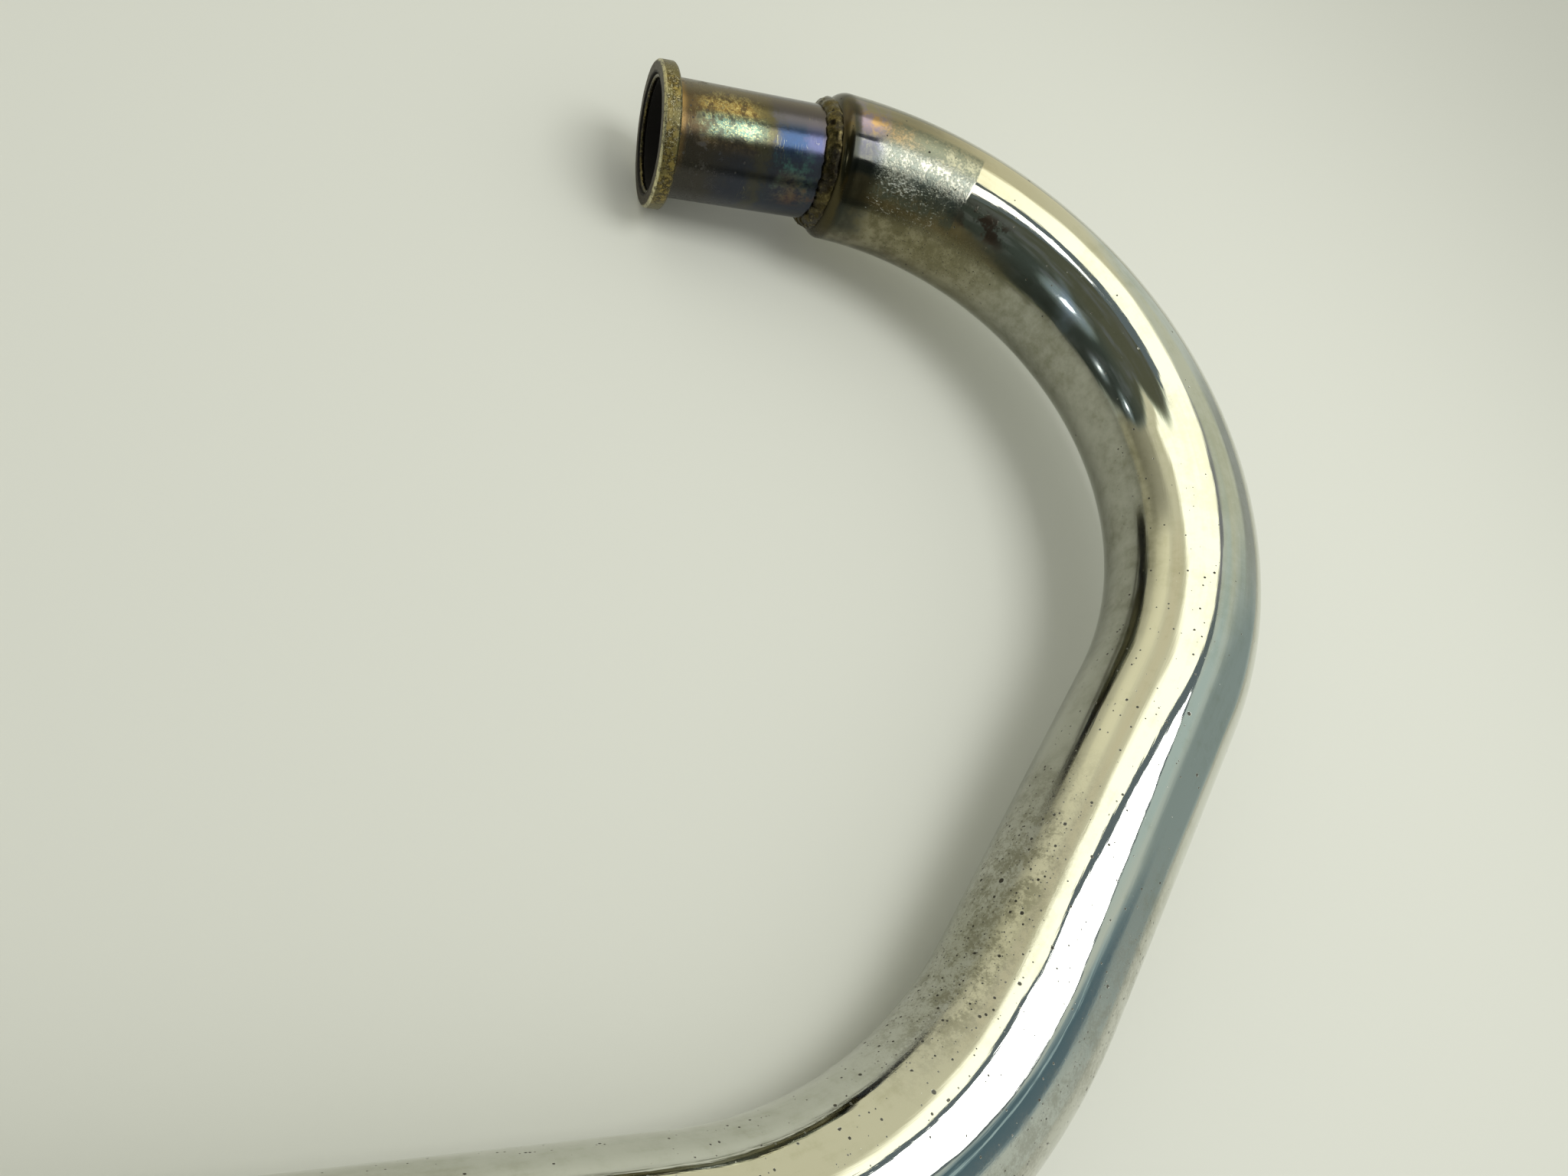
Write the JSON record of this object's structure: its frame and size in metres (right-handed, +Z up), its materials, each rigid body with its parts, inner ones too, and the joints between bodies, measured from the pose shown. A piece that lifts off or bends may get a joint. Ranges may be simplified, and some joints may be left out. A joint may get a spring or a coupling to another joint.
{
  "type": "motorcycle exhaust header",
  "caption": "Bent, double-skinned motorcycle exhaust header: a chromed outer pipe over a heat-tinted gas pipe that ends in a turned collar for the cylinder head.",
  "frame": {"origin": "middle of the base of the bounding box, on the ground that the header lies on", "axes": "+Z up; +X level, the way the straight tail leaves the second bend; the collar is on the -Y side and also opens towards +X"},
  "size_m": [0.432, 0.3433, 0.065],
  "materials": {
    "chrome_pipe": "polished, with pits, road dirt and a dull patch near the neck",
    "tinted_steel": "heat-tinted blue, violet and straw",
    "scaled_steel": "scaled and stained from heat",
    "weld_metal": "rough, burnt brown"
  },
  "bodies": {
    "root": {"port_collar": "scaled_steel", "collar_weld": "weld_metal", "inner_pipe": "tinted_steel", "neck_weld": "weld_metal", "outer_pipe": "chrome_pipe"}
  },
  "joints": []
}
